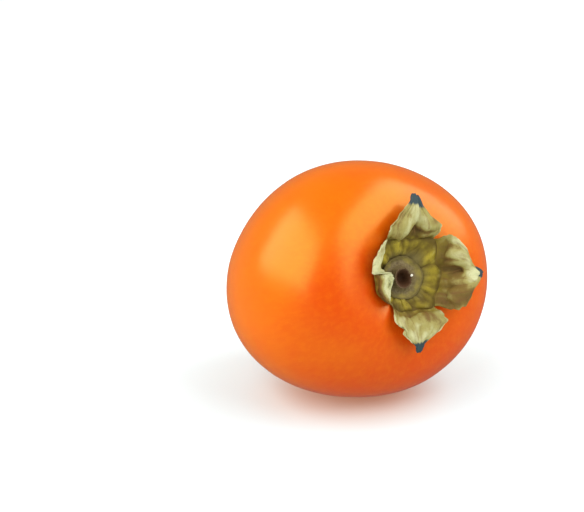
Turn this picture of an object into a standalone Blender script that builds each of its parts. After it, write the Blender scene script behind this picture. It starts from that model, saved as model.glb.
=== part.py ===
"""A ripe persimmon lying on its side.

Four pieces: the fleshy fruit, the papery four-lobed calyx seated in the hollow of its top,
the woody stub of the cut stem at the calyx's middle, and the dry point of the style at the
blossom end. Metres, +Z up. The origin is the centre of the small flat spot that the fruit
rests on. The calyx faces -Y and a little up, and the fruit is widest along X.

Every shape is worked out in the fruit's own frame, whose Z axis runs from the fruit's centre
to the calyx. An empty holds the pieces and lays that frame down.
"""
import math

import bmesh
import bpy
import numpy as np
from mathutils import Vector

MM = 0.001

# Pose
AXIS_RISE = math.radians(18.2)        # how far the calyx end points above the horizontal
FLAT_DEPTH = 0.6 * MM                 # how deep the fruit's own weight has flattened it

# Fruit: shares of the mean radius
MEAN_RADIUS = 37.0 * MM
TOWARDS_CALYX = -0.021                # the whole body set along its axis
LONGER = 0.0045                       # long (+) or squat (-)
TAPER = 0.095                         # broad at the calyx, narrower at the blossom end
SQUARER = -0.012                      # boxy (-) or pointed (+) ends
OVAL = 0.062                          # wider than high
THREE_SIDED = 0.0096
THREE_SIDED_AT = math.radians(-19.5)
SKEW = 0.0177                         # its two ends are oval in different directions
SKEW_AT = math.radians(120.0)
FOUR_SIDED = 0.0095
FOUR_SIDED_AT = math.radians(20.0)
HOLLOW_DEPTH = 9.5 * MM               # the hollow that the calyx sits in
HOLLOW_SPREAD = 0.42                  # radians
CREASE_DEPTH = 1.3 * MM               # four creases that meet at the blossom end
CREASE_REACH = 11.0 * MM
CREASE_WIDTH = 2.6 * MM
CREASE_AT = math.radians(35.0)
FRUIT_SEGMENTS = 72
FRUIT_RINGS = 40
POLE_CROWDING = 0.13                  # the rings lie closer together towards both ends

# Calyx: a sheet that lines the hollow as a dish, then rises and parts into four lobes
GAP = 0.3 * MM                        # air between pieces that touch
SHEET = 0.8 * MM
ARC_RADIUS = 30.0 * MM                # length along the skin for each radian from an end
DISH_RADIUS = 11.1 * MM
DISH_LOPSIDED = 0.10                  # the dish reaches further to one side of the stem
DISH_LOPSIDED_TO = math.radians(30.0)
DISH_RIPPLE = 0.3 * MM
DISH_RIPPLES = 11
DISH_RINGS = 6
NOTCH_SETBACK = 0.3 * MM              # how far each lobe's side stands back from the notch
NOTCH_WIDTH = math.radians(13.0)
NOTCHES = {39: 0.17, 112: 0.09, 232: -0.08, -50: 0.10}  # degrees round: how far out, of the rim
LOBE_ACROSS = 12
LOBE_ALONG = 16
LOBE_SHOULDER = 0.89                  # where along the lobe its round shoulders close

# Each lobe runs between two notches, given as angles round the stem. Its sides swell out
# past its root, then close on a blunt tip. In profile it climbs a wall at an angle of rise and
# lies down at an angle of lean after a straight of about blade, reach out and height up. That
# is given for both halves, first the clockwise one, which turn into each other across the
# seam, and slant carries the tip anticlockwise. Folds are soft swellings towards the dish, or
# away from it below zero, as (along, across, length, width, height in millimetres).
LOBES = {
    "upper": dict(
        notches=(39, 112), swell=0.6, slant=-0.1, tip=1.9, seam=(-0.30, 0.25),
        first=dict(rise=68, wall=4.0, lean=6, blade=5.0, reach=7.4, height=4.4),
        last=dict(rise=88, wall=5.4, lean=-8, blade=4.8, reach=7.6, height=4.4),
        folds=[(0.28, 0.45, 0.24, 0.36, 1.5), (0.26, -0.10, 0.20, 0.22, -1.5),
               (0.42, -0.62, 0.24, 0.32, 1.3)]),
    "left": dict(
        notches=(112, 232), swell=-0.4, slant=-1.0, tip=4.8, seam=(-0.70, 0.50),
        first=dict(rise=104, wall=5.2, lean=-50, blade=3.2, reach=2.0, height=4.2),
        last=dict(rise=94, wall=4.2, lean=100, blade=3.2, reach=-3.0, height=6.6),
        folds=[]),
    "lower": dict(
        notches=(232, 310), swell=2.2, slant=-1.0, tip=1.8, seam=(-0.40, 0.40),
        first=dict(rise=58, wall=3.8, lean=-14, blade=4.4, reach=7.6, height=3.2),
        last=dict(rise=70, wall=4.6, lean=-6, blade=4.6, reach=7.6, height=3.2),
        folds=[(0.24, 0.45, 0.20, 0.40, 1.0), (0.36, -0.60, 0.22, 0.32, 0.8)]),
    "right": dict(
        notches=(-50, 39), swell=0.7, slant=-0.6, tip=1.8, seam=(-0.30, 0.30),
        first=dict(rise=88, wall=6.8, lean=-30, blade=4.8, reach=5.8, height=4.8),
        last=dict(rise=80, wall=6.0, lean=-14, blade=5.2, reach=5.8, height=4.8),
        folds=[(0.44, 0.50, 0.28, 0.32, 1.4), (0.32, 0.08, 0.26, 0.18, -1.3),
               (0.46, -0.50, 0.28, 0.32, 1.5)]),
}

# Stem stub: its outline from the foot to the bottom of the bore, as radius and height
STUB_FOOT = 6.9 * MM
STUB_RADIUS = 2.9 * MM
STUB_HEIGHT = 4.2 * MM
STUB_BORE = 1.7 * MM
STUB_SEGMENTS = 32

# Style
STYLE_RADIUS = 1.3 * MM
STYLE_HEIGHT = 1.2 * MM
STYLE_SEGMENTS = 12


def clear_scene():
    for old in list(bpy.data.objects):
        bpy.data.objects.remove(old, do_unlink=True)


def smooth_step(start, end, value):
    share = np.clip((value - start) / (end - start), 0.0, 1.0)
    return share * share * (3.0 - 2.0 * share)


def skin_radius(polar, around):
    """Distance from the fruit's centre to its skin. polar is 0 at the calyx and pi at the
    blossom end, and around is the angle round the axis."""
    cos, sin = np.cos(polar), np.sin(polar)
    body = 1.0 + TOWARDS_CALYX * cos
    body += LONGER * (3 * cos**2 - 1) / 2
    body -= TAPER * (5 * cos**3 - 3 * cos) / 2
    body += SQUARER * (35 * cos**4 - 30 * cos**2 + 3) / 8
    body += OVAL * sin**2 * np.cos(2 * around)
    body += THREE_SIDED * sin**3 * np.cos(3 * (around - THREE_SIDED_AT))
    body += SKEW * sin**2 * cos * np.cos(2 * (around - SKEW_AT))
    body += FOUR_SIDED * sin**4 * np.cos(4 * (around - FOUR_SIDED_AT))
    hollow = HOLLOW_DEPTH * np.exp(-(polar / HOLLOW_SPREAD) ** 2)
    out = (math.pi - polar) * ARC_RADIUS
    beside = out * np.sin(2 * (around - CREASE_AT)) / 2
    crease = np.exp(-(out / CREASE_REACH) ** 2 - (beside / CREASE_WIDTH) ** 2)
    return MEAN_RADIUS * body - hollow - CREASE_DEPTH * crease


def over_skin(x, y, lift, blossom_end=False):
    """Points above the skin near one end of the fruit. x and y are measured along the skin
    from that end, and lift straight out from the fruit's centre."""
    polar = np.hypot(x, y) / ARC_RADIUS
    if blossom_end:
        polar = math.pi - polar
    around = np.arctan2(y, x)
    out = skin_radius(polar, around) + lift
    side = out * np.sin(polar)
    return np.stack((side * np.cos(around), side * np.sin(around), out * np.cos(polar)), axis=-1)


def material(name, colour, roughness, subsurface=0.0):
    made = bpy.data.materials.new(name)
    made.use_nodes = True
    shader = made.node_tree.nodes["Principled BSDF"]
    shader.inputs["Base Color"].default_value = (*colour, 1.0)
    shader.inputs["Roughness"].default_value = roughness
    shader.inputs["Metallic"].default_value = 0.0
    shader.inputs["Subsurface Weight"].default_value = subsurface
    return made


def finish_object(name, bm, finish, holder):
    """Make an object of a closed mesh, shaded smooth, in the frame of the holder."""
    bmesh.ops.recalc_face_normals(bm, faces=bm.faces)
    mesh = bpy.data.meshes.new(name)
    bm.to_mesh(mesh)
    bm.free()
    mesh.shade_smooth()
    mesh.materials.append(finish)
    made = bpy.data.objects.new(name, mesh)
    bpy.context.scene.collection.objects.link(made)
    made.parent = holder
    return made


def fruit_mesh():
    """The body, cut flat where it rests. Returns the mesh and the centre of the flat spot."""
    bm = bmesh.new()
    bmesh.ops.create_uvsphere(bm, u_segments=FRUIT_SEGMENTS, v_segments=FRUIT_RINGS, radius=1.0)
    for vert in bm.verts:
        polar = math.acos(max(-1.0, min(1.0, vert.co.z)))
        polar -= POLE_CROWDING * math.sin(2 * polar)
        around = math.atan2(vert.co.y, vert.co.x)
        out = float(skin_radius(polar, around))
        side = out * math.sin(polar)
        vert.co = (side * math.cos(around), side * math.sin(around), out * math.cos(polar))
    down = Vector((0.0, -math.cos(AXIS_RISE), -math.sin(AXIS_RISE)))
    lowest = max(vert.co.dot(down) for vert in bm.verts)
    bmesh.ops.bisect_plane(
        bm, geom=bm.verts[:] + bm.edges[:] + bm.faces[:], dist=0.01 * MM,
        plane_co=down * (lowest - FLAT_DEPTH), plane_no=down, clear_outer=True)
    rim = [edge for edge in bm.edges if edge.is_boundary]
    flat = bmesh.ops.edgeloop_fill(bm, edges=rim)["faces"][0]
    return bm, flat.calc_center_median_weighted()


def dish_rim(around):
    """The dish's radius: wider to one side, and drawn out or in a little at the notches."""
    share = 1.0 + DISH_LOPSIDED * np.cos(around - DISH_LOPSIDED_TO)
    for place, further in NOTCHES.items():
        off = np.angle(np.exp(1j * (around - math.radians(place))))
        share += further * np.exp(-(off / NOTCH_WIDTH) ** 2)
    return DISH_RADIUS * share


def bezier(share, first, second, last):
    """A cubic curve from 0 through two handles to its end, and its direction."""
    back = 1 - share
    place = 3 * back**2 * share * first + 3 * back * share**2 * second + share**3 * last
    step = 3 * back**2 * first + 6 * back * share * (second - first) + 3 * share**2 * (last - second)
    return place, step


def lobe_points(lobe, along, across):
    """Where a lobe's sheet lies, as x, y and lift over the skin. along is 0 at the dish and 1
    at the tip, and across runs from -1 on the clockwise edge to 1 on the other."""
    first, last = (math.radians(angle) for angle in lobe["notches"])
    middle, half = (first + last) / 2, (last - first) / 2
    side = smooth_step(*lobe["seam"], across)
    rise, wall, lean, blade, reach, height = (
        lobe["first"][name] * (1 - side) + lobe["last"][name] * side
        for name in ("rise", "wall", "lean", "blade", "reach", "height"))
    rise, lean = np.radians(rise), np.radians(lean)
    out, out_step = bezier(along, wall * np.cos(rise), reach - blade * np.cos(lean), reach)
    up, up_step = bezier(along, wall * np.sin(rise), height - blade * np.sin(lean), height)
    step = np.hypot(out_step, up_step)

    root = DISH_RADIUS * math.sin(half)
    width = root - NOTCH_SETBACK * smooth_step(0.0, 0.08, along)
    width += lobe["swell"] * MM * smooth_step(0.05, 0.45, along)
    width *= np.clip(1 - (along / LOBE_SHOULDER) ** 2.8, 0.0, 1.0)
    width = np.hypot(width, lobe["tip"] * MM * along * (1 - 0.5 * along**12))
    sweep = across * half
    rim = dish_rim(middle + sweep)
    start = dish_rim(middle)
    start += (rim * np.cos(sweep) - start) * (1 - along)**1.5
    beside = rim * np.sin(sweep) * width / root

    bend = np.zeros_like(across)
    for at, over, length, breadth, amount in lobe["folds"]:
        bend += amount * np.exp(-(((along - at) / length) ** 2) - ((across - over) / breadth) ** 2)
    bend *= smooth_step(0.0, 0.2, along) * (1 - 0.8 * smooth_step(0.75, 1.0, along))
    out = start + (out - bend * up_step / step) * MM
    lift = np.maximum(up + bend * out_step / step, 0.0) * MM
    beside += lobe["slant"] * MM * along**1.5
    x = out * math.cos(middle) - beside * math.sin(middle)
    y = out * math.sin(middle) + beside * math.cos(middle)
    return x, y, lift


def calyx_mesh():
    """The calyx's underside as one open sheet, which its object's Solidify makes thick."""
    bm = bmesh.new()
    turns = np.concatenate([
        np.radians(np.linspace(*lobe["notches"], LOBE_ACROSS, endpoint=False))
        for lobe in LOBES.values()])
    middle = bm.verts.new(over_skin(0.0, 0.0, GAP))
    ring = []
    for step in range(1, DISH_RINGS + 1):
        share = step / DISH_RINGS
        ripple = DISH_RIPPLE * (1 + np.cos(DISH_RIPPLES * turns)) * 4 * share**3 * (1 - share)
        radius = dish_rim(turns) * share
        points = over_skin(radius * np.cos(turns), radius * np.sin(turns), GAP + ripple)
        new_ring = [bm.verts.new(point) for point in points]
        for place in range(len(turns)):
            after = (place + 1) % len(turns)
            if ring:
                bm.faces.new((ring[place], new_ring[place], new_ring[after], ring[after]))
            else:
                bm.faces.new((middle, new_ring[place], new_ring[after]))
        ring = new_ring

    across = np.linspace(-1.0, 1.0, LOBE_ACROSS + 1)
    for number, lobe in enumerate(LOBES.values()):
        first = number * LOBE_ACROSS
        row = [ring[(first + place) % len(ring)] for place in range(LOBE_ACROSS + 1)]
        for step in range(1, LOBE_ALONG + 1):
            x, y, lift = lobe_points(lobe, np.full_like(across, step / LOBE_ALONG), across)
            new_row = [bm.verts.new(point) for point in over_skin(x, y, GAP + lift)]
            for place in range(LOBE_ACROSS):
                bm.faces.new((row[place], new_row[place], new_row[place + 1], row[place + 1]))
            row = new_row
    bmesh.ops.triangulate(bm, faces=bm.faces, quad_method="FIXED")
    return bm


def turned_mesh(outline, segments, base_lift, blossom_end=False):
    """A closed body turned round an end of the fruit, its foot following the skin. outline
    is a list of (radius, height) that starts and ends on the axis."""
    bm = bmesh.new()
    turns = np.linspace(0.0, 2 * math.pi, segments, endpoint=False)
    rings = []
    for radius, height in outline:
        if radius == 0.0:
            rings.append([bm.verts.new(over_skin(0.0, 0.0, base_lift + height, blossom_end))])
            continue
        points = over_skin(
            radius * np.cos(turns), radius * np.sin(turns), base_lift + height, blossom_end)
        rings.append([bm.verts.new(point) for point in points])
    for lower, upper in zip(rings, rings[1:]):
        for place in range(segments):
            after = (place + 1) % segments
            corners = [lower[place % len(lower)], lower[after % len(lower)]]
            corners += [upper[after % len(upper)], upper[place % len(upper)]]
            bm.faces.new(tuple(dict.fromkeys(corners)))
    return bm


def stub_outline():
    """A flared foot with a raised rim, a short neck, and a bore where the pith has dried."""
    return [
        (0.0, 0.0),
        (0.35 * STUB_FOOT, 0.0),
        (0.70 * STUB_FOOT, 0.0),
        (0.95 * STUB_FOOT, 0.0),
        (STUB_FOOT, 0.13 * STUB_HEIGHT),
        (0.95 * STUB_FOOT, 0.27 * STUB_HEIGHT),
        (0.86 * STUB_FOOT, 0.22 * STUB_HEIGHT),
        (0.70 * STUB_FOOT, 0.36 * STUB_HEIGHT),
        (0.53 * STUB_FOOT, 0.62 * STUB_HEIGHT),
        (STUB_RADIUS, 0.88 * STUB_HEIGHT),
        ((STUB_RADIUS + STUB_BORE) / 2, STUB_HEIGHT),
        (STUB_BORE, 0.93 * STUB_HEIGHT),
        (0.85 * STUB_BORE, 0.55 * STUB_HEIGHT),
        (0.0, 0.45 * STUB_HEIGHT),
    ]


def style_outline():
    return [
        (0.0, 0.0),
        (0.9 * STYLE_RADIUS, 0.0),
        (STYLE_RADIUS, 0.3 * STYLE_HEIGHT),
        (0.5 * STYLE_RADIUS, 0.6 * STYLE_HEIGHT),
        (0.3 * STYLE_RADIUS, 0.9 * STYLE_HEIGHT),
        (0.0, STYLE_HEIGHT),
    ]


def skin_material():
    return material("orange_skin", (0.87, 0.19, 0.012), 0.28, subsurface=0.2)


def calyx_material():
    return material("dry_calyx", (0.37, 0.34, 0.14), 0.7)


def stub_material():
    return material("woody_stem", (0.16, 0.10, 0.05), 0.8)


def style_material():
    return material("dry_style", (0.05, 0.025, 0.012), 0.8)


def build():
    clear_scene()
    axis = bpy.data.objects.new("fruit_axis", None)
    bpy.context.scene.collection.objects.link(axis)
    bm, flat_centre = fruit_mesh()
    axis.rotation_euler = (math.pi / 2 - AXIS_RISE, 0.0, 0.0)
    axis.location = -(axis.rotation_euler.to_matrix() @ flat_centre)
    finish_object("fruit", bm, skin_material(), axis)

    calyx = finish_object("calyx", calyx_mesh(), calyx_material(), axis)
    solidify = calyx.modifiers.new("sheet", "SOLIDIFY")
    solidify.thickness = SHEET
    solidify.offset = 1.0

    stub = turned_mesh(stub_outline(), STUB_SEGMENTS, 2 * GAP + SHEET + 2 * DISH_RIPPLE)
    finish_object("stem_stub", stub, stub_material(), axis)
    style = turned_mesh(style_outline(), STYLE_SEGMENTS, GAP, blossom_end=True)
    finish_object("style_remnant", style, style_material(), axis)


build()
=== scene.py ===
"""A ripe persimmon lying on its side: the fruit, its papery calyx, the stub of its stem and
the dry point of its style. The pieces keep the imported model's form and place, in metres."""
import math

import bmesh
import bpy
import numpy as np
from mathutils import Matrix, Vector, noise


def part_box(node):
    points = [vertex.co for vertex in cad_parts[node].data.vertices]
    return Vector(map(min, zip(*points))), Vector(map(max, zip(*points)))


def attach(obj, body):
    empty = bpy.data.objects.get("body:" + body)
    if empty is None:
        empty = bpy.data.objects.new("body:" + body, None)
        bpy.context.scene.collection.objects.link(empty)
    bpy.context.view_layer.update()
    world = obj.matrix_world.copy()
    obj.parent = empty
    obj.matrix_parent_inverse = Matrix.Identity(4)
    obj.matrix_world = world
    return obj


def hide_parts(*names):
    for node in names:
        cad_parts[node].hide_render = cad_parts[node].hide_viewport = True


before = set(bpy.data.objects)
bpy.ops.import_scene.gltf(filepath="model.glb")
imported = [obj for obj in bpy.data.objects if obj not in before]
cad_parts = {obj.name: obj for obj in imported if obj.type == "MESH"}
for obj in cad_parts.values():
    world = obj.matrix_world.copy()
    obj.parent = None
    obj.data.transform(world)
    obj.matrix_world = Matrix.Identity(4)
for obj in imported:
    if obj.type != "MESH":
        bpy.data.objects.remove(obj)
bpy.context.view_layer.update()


# Fruit -----------------------------------------------------------------------------------
# The body is one grown berry: soft flesh under a tight, waxy skin. It is broad and softly
# squarish round the calyx and narrower at the blossom end, where four shallow creases
# meet. It lies on its side, on a flat spot that its own weight has pressed.

MM = 0.001
AXIS_RISE = math.radians(18.2)        # how far the calyx end points above the horizontal
ARC_RADIUS = 30.0 * MM                # length along the skin for each radian from an end
FRUIT = {
    "Mean Radius": 37.0 * MM,
    "Towards Calyx": -0.021,
    "Longer": 0.0045,
    "Taper": 0.095,
    "Squarer": -0.012,
    "Oval": 0.062,
    "Oval At": 0.0,
    "Three Sided": 0.0096,
    "Three Sided At": math.radians(-19.5),
    "Skew": 0.0177,
    "Skew At": math.radians(120.0),
    "Four Sided": 0.0095,
    "Four Sided At": math.radians(20.0),
    "Hollow Depth": 9.5 * MM,
    "Hollow Spread": 0.42,
    "Crease Depth": 1.3 * MM,
    "Crease Reach": 11.0 * MM,
    "Crease Width": 2.6 * MM,
    "Crease At": math.radians(80.0),
    "Swell": 0.35 * MM,               # soft unevenness away from the calyx
    "Swell Size": 2.6,
}
BALL_SUBDIVISIONS = 7

RIPE_AND_SHADED_SIDE = (0.05, -0.42, 0.58)      # redder and darker towards this side: partly riper skin, partly painted shade where the lamps light the skin least
BLUSH_AND_SHADE = (-0.54, -0.04, 0.84)          # the reddest spot, beside the calyx: partly blush, partly painted shade beside the lobes
PATCH_SIZE = 0.526                    # soft patches of ripeness, as a share of the radius
STREAK_SCALE = (26.0, 26.0, 5.0)      # finer round the axis than along it
PORE_SPACING = 1.111 * MM
GRAIN_SIZE = 3.846 * MM
BLOOM_SIZE = 25.0 * MM
PALE_SKIN = (0.75, 0.150, 0.001)
RED_SKIN = (0.67, 0.058, 0.001)
STREAK = (0.82, 0.185, 0.002)
PORE = (0.84, 0.22, 0.008)
STYLE_BROWN = (0.22, 0.075, 0.012)


def skin_out(size, polar, cos, sin, wave, bell):
    """How far the skin is from the fruit's centre, for plain numbers and for node fields.
    polar is 0 at the calyx and pi at the blossom end, wave(times, at) is a cosine round the
    axis, and bell(x) is 1 at 0 and falls off on both sides."""
    body = size["Towards Calyx"] * cos + 1
    body += size["Longer"] * (cos * cos * 3 - 1) / 2
    body -= size["Taper"] * (cos * cos * cos * 5 - cos * 3) / 2
    body += size["Squarer"] * (cos * cos * cos * cos * 35 - cos * cos * 30 + 3) / 8
    body += size["Oval"] * sin * sin * wave(2, size["Oval At"])
    body += size["Three Sided"] * sin * sin * sin * wave(3, size["Three Sided At"])
    body += size["Skew"] * sin * sin * cos * wave(2, size["Skew At"])
    body += size["Four Sided"] * sin * sin * sin * sin * wave(4, size["Four Sided At"])
    from_blossom = (polar * -1 + math.pi) * ARC_RADIUS
    beside = from_blossom * wave(2, size["Crease At"]) / 2
    crease = bell(from_blossom / size["Crease Reach"]) * bell(beside / size["Crease Width"])
    hollow = bell(polar / size["Hollow Spread"])
    out = size["Mean Radius"] * body - size["Hollow Depth"] * hollow
    return out - size["Crease Depth"] * crease


def skin_radius(polar, around):
    """The same for arrays of angles, in metres."""
    return skin_out(
        FRUIT, polar, np.cos(polar), np.sin(polar),
        lambda times, at: np.cos(times * (around - at)), lambda value: np.exp(-value * value))


def from_axis(polar, around, out):
    """Points in the fruit's own frame, whose Z axis runs from its centre to the calyx."""
    side = out * np.sin(polar)
    return np.stack((side * np.cos(around), side * np.sin(around), out * np.cos(polar)), axis=-1)


LAID_DOWN = Matrix.Rotation(math.pi / 2 - AXIS_RISE, 3, "X")
polar_steps, round_steps = np.meshgrid(
    np.linspace(0, math.pi, 361), np.linspace(0, 2 * math.pi, 721))
reach = from_axis(polar_steps, round_steps, skin_radius(polar_steps, round_steps))
reach = reach.reshape(-1, 3) @ np.array(LAID_DOWN).T
fruit_low, fruit_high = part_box("fruit")
CENTRE = (fruit_low + fruit_high - Vector(reach.min(0)) - Vector(reach.max(0))) / 2
CENTRE.z = fruit_high.z - reach[:, 2].max()


class Amount:
    """A number at each point of a node tree, written with + - * / and the calls below."""

    def __init__(self, socket):
        self.socket = socket
        self.tree = socket.id_data

    def math(self, operation, *others):
        node = self.tree.nodes.new("ShaderNodeMath")
        node.operation = operation
        for place, value in enumerate((self, *others)):
            if isinstance(value, Amount):
                self.tree.links.new(value.socket, node.inputs[place])
            else:
                node.inputs[place].default_value = value
        return Amount(node.outputs[0])

    def __add__(self, other):
        return self.math("ADD", other)

    def __sub__(self, other):
        return self.math("SUBTRACT", other)

    def __mul__(self, other):
        return self.math("MULTIPLY", other)

    def __truediv__(self, other):
        return self.math("DIVIDE", other)

    def cos(self):
        return self.math("COSINE")

    def bell(self):
        return (self * self * -1).math("EXPONENT")

    def step(self, start, end):
        """0 up to start and 1 from end on, smooth between them."""
        node = self.tree.nodes.new("ShaderNodeMapRange")
        node.interpolation_type = "SMOOTHSTEP"
        self.tree.links.new(self.socket, node.inputs["Value"])
        node.inputs["From Min"].default_value = start
        node.inputs["From Max"].default_value = end
        return Amount(node.outputs["Result"])


def wired(tree, kind, inputs, **settings):
    """A node with its settings, and its inputs linked to sockets or set to values."""
    node = tree.nodes.new(kind)
    for name, value in settings.items():
        setattr(node, name, value)
    for name, value in inputs.items():
        if isinstance(value, Amount):
            value = value.socket
        if isinstance(value, bpy.types.NodeSocket):
            tree.links.new(value, node.inputs[name])
        else:
            node.inputs[name].default_value = value
    return node


def settle(piece):
    """Turn what the modifiers make into the piece's own plain mesh."""
    graph = bpy.context.evaluated_depsgraph_get()
    mesh = bpy.data.meshes.new_from_object(piece.evaluated_get(graph))
    piece.modifiers.clear()
    piece.data = mesh


def fruit_tree():
    """A ball pushed out to the skin, laid on its side and pressed flat where it rests."""
    tree = bpy.data.node_groups.new("fruit_form", "GeometryNodeTree")
    tree.interface.new_socket("Geometry", in_out="OUTPUT", socket_type="NodeSocketGeometry")
    for name in FRUIT:
        tree.interface.new_socket(name, in_out="INPUT", socket_type="NodeSocketFloat")
    for name in ("Centre", "Turn"):
        tree.interface.new_socket(name, in_out="INPUT", socket_type="NodeSocketVector")
    tree.interface.new_socket("Skin", in_out="INPUT", socket_type="NodeSocketMaterial")
    given = tree.nodes.new("NodeGroupInput").outputs
    size = {name: Amount(given[name]) for name in FRUIT}

    ball = wired(
        tree, "GeometryNodeMeshIcoSphere", {"Radius": 1.0, "Subdivisions": BALL_SUBDIVISIONS})
    place = tree.nodes.new("GeometryNodeInputPosition").outputs[0]
    split = wired(tree, "ShaderNodeSeparateXYZ", {"Vector": place}).outputs
    cos = Amount(split["Z"])
    polar = cos.math("ARCCOSINE")
    around = Amount(split["Y"]).math("ARCTAN2", Amount(split["X"]))
    out = skin_out(
        size, polar, cos, polar.math("SINE"),
        lambda times, at: ((around - at) * times).cos(), lambda value: value.bell())
    swelling = wired(
        tree, "ShaderNodeTexNoise",
        {"Vector": place, "Scale": size["Swell Size"], "Detail": 2.0, "Roughness": 0.4})
    bare = polar.step(0.55, 0.95)
    out = out + (Amount(swelling.outputs[0]) - 0.5) * bare * size["Swell"]

    named = wired(
        tree, "GeometryNodeStoreNamedAttribute",
        {"Geometry": ball.outputs[0], "Name": "direction", "Value": place},
        data_type="FLOAT_VECTOR")
    scaled = wired(tree, "ShaderNodeVectorMath", {0: place, "Scale": out}, operation="SCALE")
    shaped = wired(
        tree, "GeometryNodeSetPosition",
        {"Geometry": named.outputs[0], "Position": scaled.outputs[0]})
    laid = wired(
        tree, "GeometryNodeTransform",
        {"Geometry": shaped.outputs[0], "Translation": given["Centre"], "Rotation": given["Turn"]})
    split = wired(tree, "ShaderNodeSeparateXYZ", {"Vector": place}).outputs
    pressed = wired(
        tree, "ShaderNodeCombineXYZ",
        {"X": split["X"], "Y": split["Y"], "Z": Amount(split["Z"]).math("MAXIMUM", 0.0)})
    rested = wired(
        tree, "GeometryNodeSetPosition",
        {"Geometry": laid.outputs[0], "Position": pressed.outputs[0]})
    smooth = wired(tree, "GeometryNodeSetShadeSmooth", {0: rested.outputs[0]})
    real = wired(tree, "GeometryNodeRealizeInstances", {0: smooth.outputs[0]})
    coated = wired(
        tree, "GeometryNodeSetMaterial",
        {"Geometry": real.outputs[0], "Material": given["Skin"]})
    wired(tree, "NodeGroupOutput", {0: coated.outputs[0]})
    return tree


def shader_of(name):
    """A new material, its tree and its Principled shader."""
    made = bpy.data.materials.new(name)
    made.use_nodes = True
    return made, made.node_tree, made.node_tree.nodes["Principled BSDF"]


def speckle(tree, vector, size, detail=3.0, roughness=0.55):
    """Noise from about 0 to 1, with spots of a size in the vector's own units."""
    found = wired(
        tree, "ShaderNodeTexNoise",
        {"Vector": vector, "Scale": 1.0 / size, "Detail": detail, "Roughness": roughness})
    return Amount(found.outputs[0])


def blend(tree, share, first, second):
    """One colour turning into another. Each is a colour or a socket."""
    first, second = (
        colour if isinstance(colour, bpy.types.NodeSocket) else (*colour, 1.0)
        for colour in (first, second))
    mixed = wired(
        tree, "ShaderNodeMix", {"Factor": share, 6: first, 7: second}, data_type="RGBA")
    return mixed.outputs[2]


def facing(tree, direction, way):
    """How much each point's direction from the fruit's centre leans a way."""
    leaning = wired(
        tree, "ShaderNodeVectorMath", {0: direction, 1: way}, operation="DOT_PRODUCT")
    return Amount(leaning.outputs["Value"])


def skin_material():
    made, tree, shader = shader_of("persimmon_skin")
    direction = wired(tree, "ShaderNodeAttribute", {}, attribute_name="direction").outputs["Vector"]
    place = tree.nodes.new("ShaderNodeTexCoord").outputs["Object"]

    # Redness: broad, soft patches of ripeness, plus redder, darker skin towards one side and in a
    # spot beside the calyx, partly real colour and partly painted shade
    patches = speckle(tree, direction, PATCH_SIZE, roughness=0.45)
    ripe_and_shaded, blushed_and_shaded = (facing(tree, direction, way) for way in (RIPE_AND_SHADED_SIDE, BLUSH_AND_SHADE))
    redness = ripe_and_shaded + (patches - 0.5) * 0.8 + blushed_and_shaded.step(0.88, 0.985) * 0.35
    skin = blend(tree, redness.step(-0.25, 0.85), PALE_SKIN, RED_SKIN)

    # Faint streaks from the calyx to the blossom end, fine pores, and the brown round the style
    stretched = wired(tree, "ShaderNodeMapping", {"Vector": direction, "Scale": STREAK_SCALE})
    streaks = speckle(tree, stretched.outputs[0], 1.0, detail=4.0, roughness=0.6)
    skin = blend(tree, streaks.step(0.35, 0.75) * 0.22, skin, STREAK)
    pores = wired(
        tree, "ShaderNodeTexVoronoi",
        {"Vector": place, "Scale": 1 / PORE_SPACING, "Randomness": 1.0})
    pore = Amount(pores.outputs["Distance"]).step(0.06, 0.26) * -1 + 1
    skin = blend(tree, pore * 0.12, skin, PORE)
    to_blossom = facing(tree, direction, (0.0, 0.0, -1.0))
    skin = blend(tree, to_blossom.step(0.9965, 0.9996) * 0.55, skin, STYLE_BROWN)
    tree.links.new(skin, shader.inputs["Base Color"])

    bloom = speckle(tree, place, BLOOM_SIZE, detail=4.0)
    tree.links.new((bloom * 0.04 + 0.276).socket, shader.inputs["Roughness"])
    grain = speckle(tree, place, GRAIN_SIZE, roughness=0.5)
    relief = grain * 0.7 - pore * 0.25
    bump = wired(
        tree, "ShaderNodeBump", {"Strength": 0.25, "Distance": 0.12 * MM, "Height": relief})
    tree.links.new(bump.outputs[0], shader.inputs["Normal"])
    shader.inputs["Specular IOR Level"].default_value = 0.85
    shader.inputs["Specular Tint"].default_value = (1.0, 0.90, 0.22, 1.0)
    shader.inputs["Subsurface Weight"].default_value = 0.20
    shader.inputs["Subsurface Radius"].default_value = (1.0, 0.28, 0.04)
    shader.inputs["Subsurface Scale"].default_value = 4.0 * MM
    return made


fruit = bpy.data.objects.new("fruit_body", bpy.data.meshes.new("fruit_body"))
bpy.context.scene.collection.objects.link(fruit)
form = fruit.modifiers.new("form", "NODES")
form.node_group = fruit_tree()
fruit_inputs = {
    **FRUIT,
    "Centre": CENTRE,
    "Turn": (math.pi / 2 - AXIS_RISE, 0.0, 0.0),
    "Skin": skin_material(),
}
for item in form.node_group.interface.items_tree:
    if item.in_out == "INPUT":
        form[item.identifier] = fruit_inputs[item.name]
settle(fruit)
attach(fruit, "root")
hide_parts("fruit")


# Calyx -----------------------------------------------------------------------------------
# One grown, dry, papery piece: a dish pressed into the hollow round the stem, which rises
# and parts into four lobes with round shoulders and short blackened tips. Its veins run
# from the stem into the tips, and its margins are crimped and a little torn.

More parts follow.
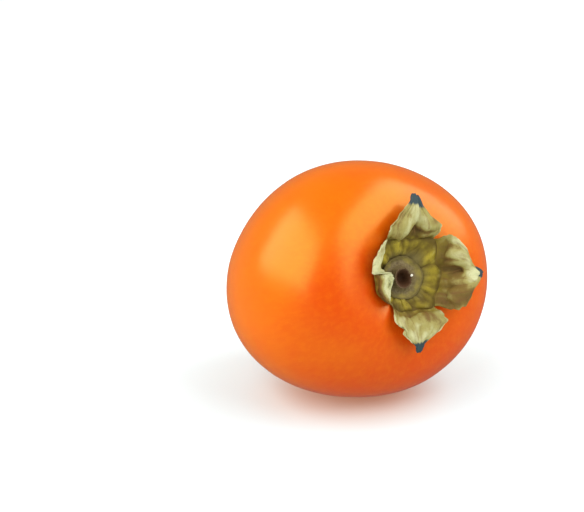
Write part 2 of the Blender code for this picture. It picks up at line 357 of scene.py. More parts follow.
GAP = 0.3 * MM                        # air between pieces that touch
DISH_RADIUS = 11.1 * MM
DISH_LOPSIDED = 0.10
DISH_LOPSIDED_TO = math.radians(30.0)
DISH_RIPPLE = 0.3 * MM
DISH_RIPPLES = 11
DISH_PLEATS = 15                      # faint pleats round the dish, between stem and rim
NOTCH_SETBACK = 0.3 * MM
NOTCH_WIDTH = math.radians(13.0)
NOTCHES = {39: 0.17, 112: 0.09, 232: -0.08, -50: 0.10}  # degrees round: how far out, of the rim
SHEET_LIFT = 0.15 * MM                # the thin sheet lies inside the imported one's 0.8 mm
DISH_SHEET = 0.45 * MM
MARGIN_SHEET = 0.20 * MM
VEINS = 8
DISH_RINGS = 36
LOBE_ACROSS = 52
LOBE_ALONG = 60
LOBE_SHOULDER = 0.89                  # where along the lobe its round shoulders close
CALYX_MARKS = ("along", "across", "relief", "stain_and_shade", "burnt")

# The darkest lobe colour, for brown stains and for the painted shade in hollows
LEAF_STAIN_AND_SHADE = (0.085, 0.045, 0.008)
LEAF_BROWN = (0.19, 0.12, 0.025)
LEAF_OLIVE = (0.33, 0.285, 0.085)
LEAF_PALE = (0.54, 0.53, 0.28)
LEAF_STREAK = (0.17, 0.085, 0.022)
DISH_DARK = (0.10, 0.065, 0.006)
DISH_YELLOW = (0.39, 0.300, 0.024)
DISH_BROWN = (0.12, 0.075, 0.010)
DISH_GREY = (0.20, 0.16, 0.06)
FLECK_BROWN = (0.12, 0.07, 0.02)
TIP_BLACK = (0.035, 0.060, 0.066)

# Each lobe's profile climbs a wall at an angle of rise and lies down at a lean towards its
# tip, reach out and height up. It is given for both halves, first the clockwise one, which
# turn into each other across the seam. Folds and stains are (along, across, length, width,
# amount): a fold's in millimetres, a stain's brown below 0 and pale above. The stains are
# partly real browning and bleaching and partly painted shade in pockets and under folds and
# painted light on lit flaps. Nicks are (along, side, length, depth).
LOBES = {
    "upper": dict(
        notches=(39, 112), swell=0.6, slant=-0.1, burnt=1, tip=1.9, seam=(-0.3, 0.25),
        first=dict(rise=68, wall=4.0, lean=6, blade=5.0, reach=7.4, height=4.4),
        last=dict(rise=88, wall=5.4, lean=-8, blade=4.8, reach=7.6, height=4.4),
        folds=[(0.28, 0.45, 0.22, 0.36, 2.0), (0.24, -0.10, 0.18, 0.18, -2.6),
               (0.42, -0.62, 0.22, 0.30, 1.7), (0.08, -0.62, 0.10, 0.30, 1.2),
               (0.62, 0.60, 0.16, 0.22, -0.8), (0.70, 0.05, 0.16, 0.20, 0.6)],
        stains_and_shades=[(0.66, 0.10, 0.26, 0.45, 1.3), (0.14, -0.12, 0.20, 0.26, -2.6),
                (0.03, -0.35, 0.09, 0.40, -2.4), (0.30, -0.45, 0.07, 0.30, -1.2),
                (0.12, 0.80, 0.25, 0.30, -0.6)],
        nicks=[(0.52, 1, 0.10, 0.10), (0.66, -1, 0.08, 0.10)]),
    "left": dict(
        notches=(112, 232), swell=-0.4, slant=-1.0, burnt=0, tip=4.8, seam=(-0.26, -0.06),
        first=dict(rise=112, wall=5.6, lean=-80, blade=3.6, reach=1.0, height=3.0),
        last=dict(rise=100, wall=5.0, lean=140, blade=2.6, reach=-4.6, height=6.6),
        folds=[(0.75, -0.20, 0.25, 0.20, -0.8), (0.80, 0.50, 0.15, 0.45, 0.8),
               (0.45, 0.45, 0.25, 0.30, -0.5)],
        stains_and_shades=[(0.70, -0.55, 0.50, 0.45, 1.2), (0.85, 0.45, 0.38, 0.80, 3.0),
                (0.20, 0.50, 0.24, 0.60, -2.4)],
        nicks=[]),
    "lower": dict(
        notches=(232, 310), swell=2.2, slant=-1.0, burnt=1, tip=1.8, seam=(-0.4, 0.4),
        first=dict(rise=58, wall=3.8, lean=-14, blade=4.4, reach=7.6, height=3.2),
        last=dict(rise=70, wall=4.6, lean=-6, blade=4.6, reach=7.6, height=3.2),
        folds=[(0.22, 0.45, 0.16, 0.40, 1.3), (0.36, -0.60, 0.18, 0.30, 1.0),
               (0.10, 0.05, 0.08, 0.60, -0.8), (0.50, 0.00, 0.30, 0.16, -0.5)],
        stains_and_shades=[(0.60, -0.20, 0.40, 0.90, 0.8), (0.10, 0.0, 0.06, 0.90, -1.4),
                (0.28, 0.40, 0.12, 0.35, -1.0)],
        nicks=[(0.50, -1, 0.07, 0.34), (0.30, 1, 0.10, 0.06)]),
    "right": dict(
        notches=(-50, 39), swell=0.7, slant=-0.6, burnt=1, tip=1.8, seam=(-0.3, 0.3),
        first=dict(rise=88, wall=6.8, lean=-30, blade=4.8, reach=5.8, height=4.8),
        last=dict(rise=80, wall=6.0, lean=-14, blade=5.2, reach=5.8, height=4.8),
        folds=[(0.44, 0.50, 0.28, 0.30, 2.0), (0.36, 0.12, 0.26, 0.15, -1.9),
               (0.46, -0.50, 0.28, 0.32, 2.1), (0.74, 0.00, 0.15, 0.24, 1.1),
               (0.12, 0.70, 0.12, 0.25, -0.8), (0.16, -0.62, 0.10, 0.30, -0.8),
               (0.38, 0.76, 0.26, 0.08, -0.7), (0.36, 0.44, 0.24, 0.08, -0.7),
               (0.34, -0.34, 0.24, 0.08, -0.6)],
        stains_and_shades=[(0.06, 0.30, 0.13, 0.75, -1.6), (0.32, 0.12, 0.30, 0.13, -2.6),
                (0.34, 0.74, 0.22, 0.07, -1.6), (0.30, 0.44, 0.22, 0.07, -1.8),
                (0.56, 0.62, 0.20, 0.40, 1.1), (0.70, -0.06, 0.18, 0.26, 2.6),
                (0.40, -0.45, 0.26, 0.35, -0.7), (0.50, -0.82, 0.32, 0.26, -1.3)],
        nicks=[(0.80, -1, 0.10, 0.42), (0.46, 1, 0.12, 0.05)]),
}


def smooth_step(start, end, value):
    share = np.clip((value - start) / (end - start), 0.0, 1.0)
    return share * share * (3.0 - 2.0 * share)


def over_skin(x, y, lift, blossom_end=False):
    """Points above the skin near one end of the fruit, in the fruit's frame. x and y are
    measured along the skin from that end, and lift straight out from the fruit's centre."""
    polar = np.hypot(x, y) / ARC_RADIUS
    if blossom_end:
        polar = math.pi - polar
    around = np.arctan2(y, x)
    return from_axis(polar, around, skin_radius(polar, around) + lift)


def crumple(seed, size, *coordinates):
    """Smooth random numbers from -1 to 1 at places given by one or more coordinates."""
    places = np.broadcast_arrays(*(np.asarray(value, float) / size for value in coordinates))
    columns = [place.ravel() for place in places] + [np.zeros(places[0].size)] * 2
    found = [noise.noise(Vector((a + seed * 17.3, b, c))) for a, b, c in zip(*columns[:3])]
    return np.array(found).reshape(places[0].shape)


def dish_rim(around):
    """The dish's radius: wider to one side, drawn out or in a little at the notches, and
    not quite even."""
    share = 1.0 + DISH_LOPSIDED * np.cos(around - DISH_LOPSIDED_TO)
    for place, further in NOTCHES.items():
        off = np.angle(np.exp(1j * (around - math.radians(place))))
        share += further * np.exp(-(off / NOTCH_WIDTH) ** 2)
    share += 0.018 * np.cos(7 * around + 1.0) + 0.012 * np.cos(13 * around)
    return DISH_RADIUS * share


def spots(marks, along, across):
    """The sum of soft round spots, each (along, across, length, width, amount)."""
    total = np.zeros(np.broadcast(along, across).shape)
    for at, over, length, breadth, amount in marks:
        total += amount * np.exp(-(((along - at) / length) ** 2) - ((across - over) / breadth) ** 2)
    return total


def bezier(share, first, second, last):
    """A cubic curve from 0 through two handles to its end, and its direction."""
    back = 1 - share
    place = 3 * back**2 * share * first + 3 * back * share**2 * second + share**3 * last
    step = 3 * back**2 * first + 6 * back * share * (second - first)
    return place, step + 3 * share**2 * (last - second)


def lobe_points(lobe, seed, along, across):
    """Where a lobe's sheet lies, as x, y and lift over the skin, and how far its crumples
    stand out in mm. along is 0 at the dish and 1 at the tip, and across runs from -1 on the
    clockwise edge to 1 on the other."""
    first, last = (math.radians(angle) for angle in lobe["notches"])
    middle, half = (first + last) / 2, (last - first) / 2
    side = smooth_step(*lobe["seam"], across)
    rise, wall, lean, blade, reach, height = (
        lobe["first"][name] * (1 - side) + lobe["last"][name] * side
        for name in ("rise", "wall", "lean", "blade", "reach", "height"))
    rise, lean = np.radians(rise), np.radians(lean)
    ragged = 1 + 0.05 * crumple(seed + 0.5, 0.16, across) * along**4
    share = along * ragged
    out, out_step = bezier(share, wall * np.cos(rise), reach - blade * np.cos(lean), reach)
    up, up_step = bezier(share, wall * np.sin(rise), height - blade * np.sin(lean), height)
    step = np.hypot(out_step, up_step)

    width = DISH_RADIUS * math.sin(half) - NOTCH_SETBACK * smooth_step(0.0, 0.08, along)
    width += lobe["swell"] * MM * smooth_step(0.05, 0.45, along)
    width *= np.clip(1 - (along / LOBE_SHOULDER) ** 2.8, 0.0, 1.0)
    width = np.hypot(width, lobe["tip"] * MM * along * (1 - 0.7 * along**12))
    sides = 1 + 0.05 * crumple(seed, 0.07, along * np.ones_like(across), np.sign(across))
    for at, of_side, length, depth in lobe["nicks"]:
        hit = np.exp(-(((along - at) / length) ** 2)) * (np.sign(across) == of_side)
        sides = sides - depth * hit
    width = width * (1 + (sides - 1) * across**2 * smooth_step(0.0, 0.2, along))
    sweep = across * half
    rim = dish_rim(middle + sweep)
    start = dish_rim(middle)
    start += (rim * np.cos(sweep) - start) * (1 - along)**1.5
    beside = rim * np.sin(sweep) * width / (DISH_RADIUS * math.sin(half))

    loose = smooth_step(0.0, 0.2, along) * (1 - 0.8 * smooth_step(0.75, 1.0, along))
    veins = np.cos(VEINS * math.pi * across + 1.5 * crumple(seed + 3, 0.35, across, along))
    relief = 0.08 * veins * (1 - 0.5 * across**2)
    relief += 0.20 * crumple(seed + 7, 0.15, along, across)
    relief += 0.55 * crumple(seed + 5, 0.34, along, across)
    relief += 0.40 * across**6 * crumple(seed + 9, 0.11, along, np.sign(across))
    folds = spots(lobe["folds"], along, across)
    bend = loose * (relief + folds)
    out = start + (out - bend * up_step / step) * MM
    lift = np.maximum(up + bend * out_step / step, 0.0) * MM
    beside += lobe["slant"] * MM * along**1.5
    x = out * math.cos(middle) - beside * math.sin(middle)
    y = out * math.sin(middle) + beside * math.cos(middle)
    return x, y, lift, relief + 0.15 * folds


class Sheet:
    """An open sheet that grows row by row. Each point keeps its CALYX_MARKS: how far along
    it is (0 at the stem, 1 at the dish's rim, 2 at a tip), how far across, how far it stands
    out in mm, how stained or bleached it is, partly as painted shade and painted light, and
    how blackened."""

    def __init__(self):
        self.points, self.faces, self.marks = [], [], []

    def add_row(self, points, *marks):
        first = len(self.points)
        self.points.extend(points)
        self.marks.extend(zip(*np.broadcast_arrays(*marks, np.zeros(len(points)))[:-1]))
        return list(range(first, first + len(points)))

    def bridge(self, lower, upper, closed=False):
        steps = len(lower) if closed else len(lower) - 1
        for place in range(steps):
            after = (place + 1) % len(lower)
            self.faces.append((lower[place], upper[place], upper[after], lower[after]))


def dish_folds(share, around):
    """How far the dish stands up from the skin, beyond its gap. It is flat under the stem,
    and puckered between the stem and the rim, in lumps and creases that run outwards."""
    turned_place = (10 * MM * np.cos(around), 10 * MM * np.sin(around), 4 * MM * share)
    rise = DISH_RIPPLE * (1 + np.cos(DISH_RIPPLES * around)) * 4 * share**2 * (1 - share)
    loose = smooth_step(0.58, 0.72, share) * (1 - smooth_step(0.86, 1.0, share))
    wander = crumple(15, 3.0 * MM, *turned_place)
    folds = 0.60 + 0.60 * crumple(11, 1.9 * MM, *turned_place)
    folds += 0.16 * np.cos(DISH_PLEATS * around + 4.0 * wander)
    folds -= 0.30 * np.exp(-(crumple(17, 2.4 * MM, *turned_place) / 0.13) ** 2)
    folds += 0.16 * crumple(13, 0.7 * MM, *turned_place)
    folds -= 0.20 * np.exp(-((share - 0.79 - 0.10 * wander) / 0.07) ** 2)
    return rise + MM * loose * folds


def calyx_sheet():
    sheet = Sheet()
    turns = np.concatenate([
        np.radians(np.linspace(*lobe["notches"], LOBE_ACROSS, endpoint=False))
        for lobe in LOBES.values()])
    across = np.tile(np.linspace(-1, 1, LOBE_ACROSS, endpoint=False), len(LOBES))
    centre = sheet.add_row([over_skin(0.0, 0.0, GAP + SHEET_LIFT)], 0.0, 0.0, 0.0, 0.0, 0.0)
    inner = centre * len(turns)
    for share in np.linspace(0, 1, DISH_RINGS + 1)[1:]:
        radius = dish_rim(turns) * share
        x, y = radius * np.cos(turns), radius * np.sin(turns)
        rise = dish_folds(share, turns)
        points = over_skin(x, y, GAP + SHEET_LIFT + rise)
        row = sheet.add_row(points, share, across, rise / MM - 0.6, 0.0, 0.0)
        sheet.bridge(inner, row, closed=True)
        inner = row
    sheet.faces[:len(turns)] = [tuple(dict.fromkeys(face)) for face in sheet.faces[:len(turns)]]
    side = np.linspace(-1.0, 1.0, LOBE_ACROSS + 1)
    for number, lobe in enumerate(LOBES.values()):
        lower = [inner[(number * LOBE_ACROSS + place) % len(turns)]
                 for place in range(LOBE_ACROSS + 1)]
        for share in np.linspace(0, 1, LOBE_ALONG + 1)[1:]:
            x, y, lift, relief = lobe_points(lobe, 20 + 10 * number, share, side)
            # Stain spots: real browning and bleaching, with painted shade in pockets and under
            # folds and painted light on lit flaps
            stain_and_shade = spots(lobe["stains_and_shades"], share, side)
            burnt = lobe["burnt"] * smooth_step(0.80, 0.84, share + 0.04 * crumple(3, 0.2, side))
            upper = sheet.add_row(
                over_skin(x, y, GAP + SHEET_LIFT + lift), 1 + share, side, relief, stain_and_shade, burnt)
            sheet.bridge(lower, upper)
            lower = upper
    return np.array(sheet.points), sheet.faces, np.array(sheet.marks, float)


def laid_down(points):
    """From the fruit's frame to where it lies."""
    return np.asarray(points) @ np.array(LAID_DOWN).T + np.array(CENTRE)


def plain_object(name, points, faces, coat, **named):
    """An object with its place in its mesh, shaded smooth, with named numbers on its points."""
    mesh = bpy.data.meshes.new(name)
    mesh.from_pydata([tuple(point) for point in points], [], faces)
    mesh.update()
    mesh.shade_smooth()
    mesh.materials.append(coat)
    for label, values in named.items():
        layer = mesh.attributes.new(label, "FLOAT", "POINT")
        layer.data.foreach_set("value", np.asarray(values, np.float32))
    made = bpy.data.objects.new(name, mesh)
    bpy.context.scene.collection.objects.link(made)
    return made


def thickened(points, faces, thickness):
    """A closed body from an open sheet, given how thick it is at each point."""
    bm = bmesh.new()
    verts = [bm.verts.new(point) for point in points]
    for face in faces:
        bm.faces.new([verts[corner] for corner in face])
    bm.normal_update()
    bm.verts.index_update()
    normals = np.array([vert.normal for vert in verts])
    edges = []
    for edge in bm.edges:
        if edge.is_boundary:
            start = edge.link_loops[0].vert
            edges.append((start.index, edge.other_vert(start).index))
    bm.free()
    count = len(points)
    body = np.concatenate((points, points + normals * thickness[:, None]))
    closed = [tuple(reversed(face)) for face in faces]
    closed += [tuple(corner + count for corner in face) for face in faces]
    closed += [(start, end, end + count, start + count) for start, end in edges]
    return body, closed


def mark(tree, name):
    """The number that a piece's points keep under a name."""
    return Amount(wired(tree, "ShaderNodeAttribute", {}, attribute_name=name).outputs["Fac"])


def calyx_material():
    made, tree, shader = shader_of("dry_calyx")
    along, across, relief, stain_and_shade, burnt = (mark(tree, name) for name in CALYX_MARKS)
    place = tree.nodes.new("ShaderNodeTexCoord").outputs["Object"]
    on_sheet = wired(
        tree, "ShaderNodeCombineXYZ", {"X": across * 7.0, "Y": along * 1.4, "Z": stain_and_shade})
    streak = speckle(tree, on_sheet.outputs[0], 0.9, detail=5.0, roughness=0.62)
    patch = speckle(tree, place, 2.6 * MM, detail=4.0)
    fleck = speckle(tree, place, 0.5 * MM)
    margin = (across * across * across.math("ABSOLUTE")).step(0.55, 1.0)
    on_lobe = (along + (patch - 0.5) * 0.7).step(0.90, 1.25)

    # Lobe lightness: darker in the hollows of crumples and folds and paler on their crests, which
    # is painted shade and light, plus stain spots, random patches and paler margins
    painted_light_and_tone = relief * 0.9 + stain_and_shade * 0.60 + (patch - 0.5) * 1.3 + margin * 0.35 + 0.40
    lobe = blend(tree, painted_light_and_tone.step(-0.8, 0.1), LEAF_STAIN_AND_SHADE, LEAF_BROWN)
    lobe = blend(tree, painted_light_and_tone.step(0.0, 0.60), lobe, LEAF_OLIVE)
    lobe = blend(tree, painted_light_and_tone.step(0.55, 1.45), lobe, LEAF_PALE)
    streaked = streak.step(0.48, 0.66) * (painted_light_and_tone * -0.45 + 0.85)
    lobe = blend(tree, streaked, lobe, LEAF_STREAK)
    # Dish colour: darker in its creases and yellower on its puckers, which is painted shade and
    # light, with random patches
    dish_shade_and_patches = relief * 0.9 + (patch - 0.5) * 1.0
    dish_shade_and_patches = dish_shade_and_patches + (speckle(tree, place, 4.0 * MM) - 0.5) * 1.2
    dish = blend(tree, dish_shade_and_patches.step(-0.60, 0.85), DISH_DARK, DISH_YELLOW)
    coarse = speckle(tree, place, 1.0 * MM, detail=5.0, roughness=0.7)
    dish = blend(tree, coarse.step(0.42, 0.75) * 0.6, dish, DISH_BROWN)
    grey = (along * -1 + 0.80).step(0.0, 0.25) * 0.6
    dish = blend(tree, grey, dish, DISH_GREY)
    leaf = blend(tree, on_lobe, dish, lobe)
    leaf = blend(tree, fleck.step(0.62, 0.75) * 0.35, leaf, FLECK_BROWN)
    tipped = blend(tree, burnt, leaf, TIP_BLACK)
    tree.links.new(tipped, shader.inputs["Base Color"])

    fibres = wired(tree, "ShaderNodeCombineXYZ", {"X": across * 60.0, "Y": along * 4.0})
    fibre = speckle(tree, fibres.outputs[0], 1.0)
    height = fibre * on_lobe * 0.6 + fleck * 0.5 + patch * 0.6
    bump = wired(
        tree, "ShaderNodeBump", {"Strength": 0.5, "Distance": 0.25 * MM, "Height": height})
    tree.links.new(bump.outputs[0], shader.inputs["Normal"])
    tree.links.new((fleck * 0.25 + 0.5).socket, shader.inputs["Roughness"])
    shader.inputs["Specular IOR Level"].default_value = 0.2
    return made


points, faces, marks = calyx_sheet()
margin = np.where(marks[:, 0] > 1, np.abs(marks[:, 1]), 0.0)
thickness = DISH_SHEET + (MARGIN_SHEET - DISH_SHEET) * smooth_step(0.4, 1.0, margin)
points, faces = thickened(points, faces, thickness)
named = dict(zip(CALYX_MARKS, np.tile(marks.T, 2)))
calyx = plain_object("calyx_sheet", laid_down(points), faces, calyx_material(), **named)
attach(calyx, "root")
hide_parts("calyx")


# Stem stub -------------------------------------------------------------------------------
# What is left of the woody stalk that the fruit hung by: a flared foot with a raised rim,
# a short neck cut across, and a dark bore where the pith has dried and shrunk.

STUB_FOOT = 6.9 * MM
STUB_HEIGHT = 4.2 * MM
STUB_LIFT = 2.0 * MM                  # its foot over the skin, above the calyx's sheet
STUB_LEAN = 1.0 * MM                  # how far its cut end stands to one side
PITH_AT = (2.0 * MM, 0.35 * MM, 4.1 * MM)
PITH_SIZE = (0.42 * MM, 0.40 * MM)    # half its width and half its height
STUB_SEGMENTS = 144

WOOD_DARK = (0.115, 0.078, 0.032)
WOOD_PALE = (0.25, 0.195, 0.085)
FOOT_DARK = (0.13, 0.10, 0.022)
FOOT_OLIVE = (0.27, 0.21, 0.042)
FOOT_EDGE = (0.10, 0.07, 0.02)
BORE_DARK = (0.070, 0.028, 0.008)
PITH_PALE = (0.80, 0.76, 0.62)


def turned(outline, segments, base_lift, roughen, blossom_end=False):
    """A closed body turned round an end of the fruit, its foot following the skin. outline
    is a list of (radius, height) that starts and ends on the axis, and roughen gives how far
    the surface is from it at each radius, height and angle. Also gives each point's own."""
    turns = np.linspace(0.0, 2 * math.pi, segments, endpoint=False)
    points, marks, rings, faces = [], [], [], []
    for radius, height in outline:
        ring = turns if radius > 0 else turns[:1]
        rings.append(range(len(points), len(points) + len(ring)))
        out, up = roughen(radius, height, ring)
        points.extend(over_skin(
            out * np.cos(ring), out * np.sin(ring), base_lift + up, blossom_end))
        marks.extend([(radius, height)] * len(ring))
    for lower, upper in zip(rings, rings[1:]):
        for place in range(segments):
            after = (place + 1) % segments
            corners = (lower[place % len(lower)], upper[place % len(upper)],
                       upper[after % len(upper)], lower[after % len(lower)])
            if blossom_end:
                corners = corners[::-1]
            faces.append(tuple(dict.fromkeys(corners)))
    return np.array(points), faces, np.array(marks)


def rounded(corners, steps):
    """A smooth outline through corners that start and end on the axis."""
    outline = []
    for before, start, end, after in zip(corners, corners[1:], corners[2:], corners[3:]):
        for share in np.linspace(0, 1, steps, endpoint=False):
            outline.append(tuple(
                0.5 * (2 * b + (c - a) * share + (2 * a - 5 * b + 4 * c - d) * share**2
                       + (3 * b - a - 3 * c + d) * share**3)
                for a, b, c, d in zip(before, start, end, after)))
    outline = [corners[0], *outline, corners[-2], corners[-1]]
    return [(max(radius, 0.0), max(height, 0.0)) for radius, height in outline]


def stub_outline():
    """The stub's half section: a thin skirt, a hollow cone, a rounded rim and a bore."""
    corners = [
        (0.0, 0.0), (0.5, 0.0), (0.97, 0.0), (1.0, 0.03), (0.985, 0.075), (0.93, 0.10),
        (0.84, 0.10), (0.72, 0.20), (0.61, 0.36), (0.53, 0.58), (0.47, 0.82), (0.43, 0.97),
        (0.39, 1.0), (0.34, 0.93), (0.29, 0.76), (0.23, 0.52), (0.14, 0.34), (0.0, 0.28)]
    return [(radius * STUB_FOOT, height * STUB_HEIGHT) for radius, height in rounded(corners, 7)]


def stub_material():
    made, tree, shader = shader_of("woody_stem")
    radius = mark(tree, "radius")
    place = tree.nodes.new("ShaderNodeTexCoord").outputs["Object"]
    grain = speckle(tree, place, 0.7 * MM, detail=5.0, roughness=0.65)
    patch = speckle(tree, place, 2.4 * MM, detail=3.0)
    wood = blend(tree, grain.step(0.2, 0.85), WOOD_DARK, WOOD_PALE)
    foot = blend(tree, patch.step(0.3, 0.7), FOOT_DARK, FOOT_OLIVE)
    wood = blend(tree, (radius + (patch - 0.5) * 0.4).step(0.66, 0.95), wood, foot)
    wood = blend(tree, radius.step(0.90, 0.98) * 0.6, wood, FOOT_EDGE)
    inside = (radius * -1 + 1.0 + (grain - 0.5) * 0.25).step(0.50, 0.66)
    wood = blend(tree, inside, wood, BORE_DARK)
    wood = blend(tree, mark(tree, "pith"), wood, PITH_PALE)
    tree.links.new(wood, shader.inputs["Base Color"])
    relief = grain * 0.7 + patch * 0.5
    bump = wired(
        tree, "ShaderNodeBump", {"Strength": 0.6, "Distance": 0.3 * MM, "Height": relief})
    tree.links.new(bump.outputs[0], shader.inputs["Normal"])
    tree.links.new((grain * 0.2 + 0.6).socket, shader.inputs["Roughness"])
    shader.inputs["Specular IOR Level"].default_value = 0.3
    return made


def wood_grain(radius, height, around):
    """Out of round and ridged lengthwise, more so on the cone than on the flat foot."""
    x, y = radius * np.cos(around), radius * np.sin(around)
    share = height / STUB_HEIGHT
    ridges = np.cos(13 * around + 4.0 * crumple(31, 2.0 * MM, x, y))
    out = radius * (1 + 0.035 * np.cos(2 * around + 0.6) + 0.02 * np.cos(5 * around))
    out = out + 0.05 * MM * share * ridges - STUB_LEAN * share * np.cos(around)
    up = height + smooth_step(0.02, 0.12, share) * MM * (
        0.22 * crumple(33, 1.6 * MM, x, y, np.full_like(x, height)) + 0.06 * ridges)
    return out, up


def pith_nub():
    """A little pale bead of dry pith that clings to the bore's lip."""
    bm = bmesh.new()
    bmesh.ops.create_icosphere(bm, subdivisions=3, radius=1.0)
    beads = np.array([vert.co for vert in bm.verts])
    faces = [tuple(vert.index for vert in face.verts) for face in bm.faces]
    bm.free()
    across, up = np.array(PITH_SIZE)
    x = PITH_AT[0] + across * beads[:, 0]
    y = PITH_AT[1] + across * beads[:, 1]
    return over_skin(x, y, STUB_LIFT + PITH_AT[2] + up * beads[:, 2]), faces


points, faces, marks = turned(stub_outline(), STUB_SEGMENTS, STUB_LIFT, wood_grain)
beads, bead_faces = pith_nub()
faces += [tuple(corner + len(points) for corner in face) for face in bead_faces]
pith = np.repeat([0.0, 1.0], [len(points), len(beads)])
marks = np.concatenate((marks, np.zeros((len(beads), 2))))
stub = plain_object(
    "stem_stub_wood", laid_down(np.concatenate((points, beads))), faces, stub_material(),
    radius=marks[:, 0] / STUB_FOOT, pith=pith)
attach(stub, "root")
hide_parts("stem_stub")


# Style -----------------------------------------------------------------------------------
# The dry, dark point of the flower's style, left where the four creases meet: a little
# horny collar that grew from the skin, and a split, twisted tip.

STYLE_RADIUS = 1.3 * MM
STYLE_HEIGHT = 1.2 * MM
STYLE_PARTS = 4
STYLE_SEGMENTS = 72

HORN_BLACK = (0.016, 0.008, 0.005)
HORN_BROWN = (0.060, 0.030, 0.014)
COLLAR_BROWN = (0.10, 0.045, 0.015)


def style_outline():
    """The style's half section: a low collar, a neck and a blunt tip."""
    corners = [
        (0.0, 0.0), (0.45, 0.0), (0.88, 0.0), (0.96, 0.10), (0.90, 0.22), (0.68, 0.30),
        (0.46, 0.42), (0.34, 0.60), (0.33, 0.82), (0.22, 0.98), (0.08, 0.90), (0.0, 0.86)]
    return [
        (radius * STYLE_RADIUS, height * STYLE_HEIGHT) for radius, height in rounded(corners, 5)]


def style_split(radius, height, around):
    """Uneven all round, and split into parts that turn as they rise."""
    share = height / STYLE_HEIGHT
    x, y = radius * np.cos(around), radius * np.sin(around)
    parts = np.cos(STYLE_PARTS * (around - 0.9 * share))
    out = radius * (1 + 0.22 * share * parts)
    out = out + 0.07 * MM * smooth_step(0.0, 0.2, share) * crumple(41, 0.5 * MM, x, y)
    up = height * (1 - 0.10 * share * (1 - parts))
    return out, up


def style_material():
    made, tree, shader = shader_of("dry_style")
    height = mark(tree, "height")
    place = tree.nodes.new("ShaderNodeTexCoord").outputs["Object"]
    grain = speckle(tree, place, 0.35 * MM, detail=4.0)
    horn = blend(tree, grain.step(0.3, 0.7), HORN_BLACK, HORN_BROWN)
    horn = blend(tree, (height + grain * 0.3).step(0.30, 0.55), COLLAR_BROWN, horn)
    tree.links.new(horn, shader.inputs["Base Color"])
    bump = wired(
        tree, "ShaderNodeBump", {"Strength": 0.5, "Distance": 0.08 * MM, "Height": grain})
    tree.links.new(bump.outputs[0], shader.inputs["Normal"])
    shader.inputs["Roughness"].default_value = 0.7
    return made


points, faces, marks = turned(
    style_outline(), STYLE_SEGMENTS, GAP, style_split, blossom_end=True)
style = plain_object(
    "style_point", laid_down(points), faces, style_material(),
    height=marks[:, 1] / STYLE_HEIGHT)
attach(style, "root")
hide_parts("style_remnant")


# Table, lamps and camera -----------------------------------------------------------------
# A plain white table in a white room, lit by two large softboxes that stand left and right
# of the fruit and lean over it, and a long lens a little above the fruit. The table glows
# faintly with painted light, and a painted shadow round the fruit makes its glow less and
# warmer there; glossy skin doesn't mirror it.

LOOK_FROM = (math.radians(-33.0), math.radians(19.9))  # azimuth and elevation
LOOK_DISTANCE = 666.0 * MM
LENS = 138.6
OFF_CENTRE = (0.0271, -0.0102)        # where the fruit's centre stands, right and up
ROOM_LIGHT = 0.20
TABLE_REACH = 3.0
TABLE_WHITE = (0.50, 0.60, 0.62)
# Centre of the painted shadow on the table, a little in front of the fruit, and the glow's warm
# tint inside it
SHADE_AT = (-6.5 * MM, -10.0 * MM, 0.0)
PAINTED_SHADOW_GLOW = (1.0, 0.53, 0.33)
OPEN_GLOW = (0.96, 0.95, 0.93)


def direction(azimuth, elevation):
    """Towards an azimuth, 0 at -Y and a quarter turn at +X, and an elevation."""
    level = math.cos(elevation)
    return Vector((math.sin(azimuth) * level, -math.cos(azimuth) * level, math.sin(elevation)))


def aimed(made, place, target):
    """Stand a lamp or the camera at a place, turned to face its target."""
    made.location = place
    made.rotation_euler = (Vector(place) - Vector(target)).to_track_quat("Z", "Y").to_euler()
    bpy.context.scene.collection.objects.link(made)


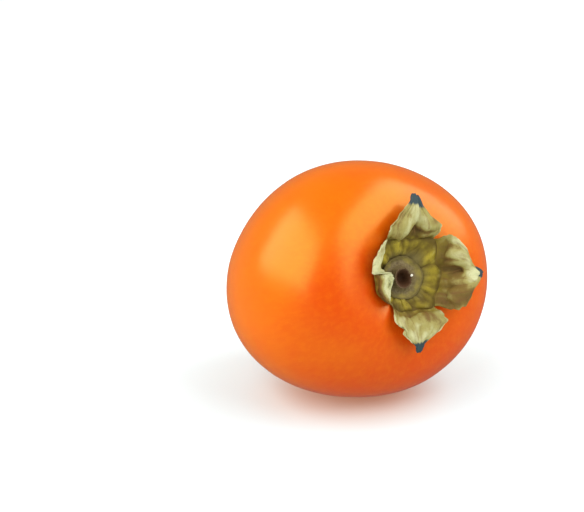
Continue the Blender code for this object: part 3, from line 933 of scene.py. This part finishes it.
def softbox(name, azimuth, elevation, distance, width, height, radiance):
    """A rectangular lamp that faces the fruit, hidden from the camera. Angles in degrees."""
    lamp = bpy.data.lights.new(name, "AREA")
    lamp.shape = "RECTANGLE"
    lamp.size, lamp.size_y = width, height
    lamp.energy = radiance * math.pi * width * height
    made = bpy.data.objects.new(name, lamp)
    made.visible_camera = False
    towards = direction(math.radians(azimuth), math.radians(elevation))
    aimed(made, CENTRE + towards * distance, CENTRE)


softbox("softbox_left", -94, 38, 0.70, 1.15, 0.62, 3.5)
softbox("softbox_right", 52, 42, 0.70, 1.10, 0.66, 3.1)

room = bpy.data.worlds.new("white_room")
room.use_nodes = True
room.node_tree.nodes["Background"].inputs["Color"].default_value = (1.0, 1.0, 1.0, 1.0)
room.node_tree.nodes["Background"].inputs["Strength"].default_value = ROOM_LIGHT
bpy.context.scene.world = room
bpy.context.scene.view_settings.view_transform = "Standard"


def table_material():
    made, tree, shader = shader_of("white_table")
    place = tree.nodes.new("ShaderNodeTexCoord").outputs["Object"]
    # Painted shadow: the glow dips within 80 mm of SHADE_AT and turns warm within 35 mm
    away = wired(tree, "ShaderNodeVectorMath", {0: place, 1: SHADE_AT}, operation="DISTANCE")
    away = Amount(away.outputs["Value"])
    glow = away.step(20.0 * MM, 80.0 * MM) * 0.32 + 0.30
    tree.links.new(glow.socket, shader.inputs["Emission Strength"])
    painted_shadow_hue = blend(tree, away.step(12.0 * MM, 35.0 * MM), PAINTED_SHADOW_GLOW, OPEN_GLOW)
    tree.links.new(painted_shadow_hue, shader.inputs["Emission Color"])
    shader.inputs["Base Color"].default_value = (*TABLE_WHITE, 1.0)
    shader.inputs["Roughness"].default_value = 0.7
    return made


corners = [(x * TABLE_REACH, y * TABLE_REACH, 0) for x, y in ((-1, -1), (1, -1), (1, 1), (-1, 1))]
table = plain_object("table", corners, [(0, 1, 2, 3)], table_material())
table.visible_glossy = False

lens = bpy.data.cameras.new("camera")
lens.lens = LENS
lens.clip_start = 0.01
back = direction(*LOOK_FROM)
right = Vector((math.cos(LOOK_FROM[0]), math.sin(LOOK_FROM[0]), 0.0))
up = back.cross(right)
camera_place = CENTRE + back * LOOK_DISTANCE
aim = CENTRE - (right * OFF_CENTRE[0] + up * OFF_CENTRE[1]) * LOOK_DISTANCE
camera = bpy.data.objects.new("camera", lens)
aimed(camera, camera_place, aim)
bpy.context.scene.camera = camera
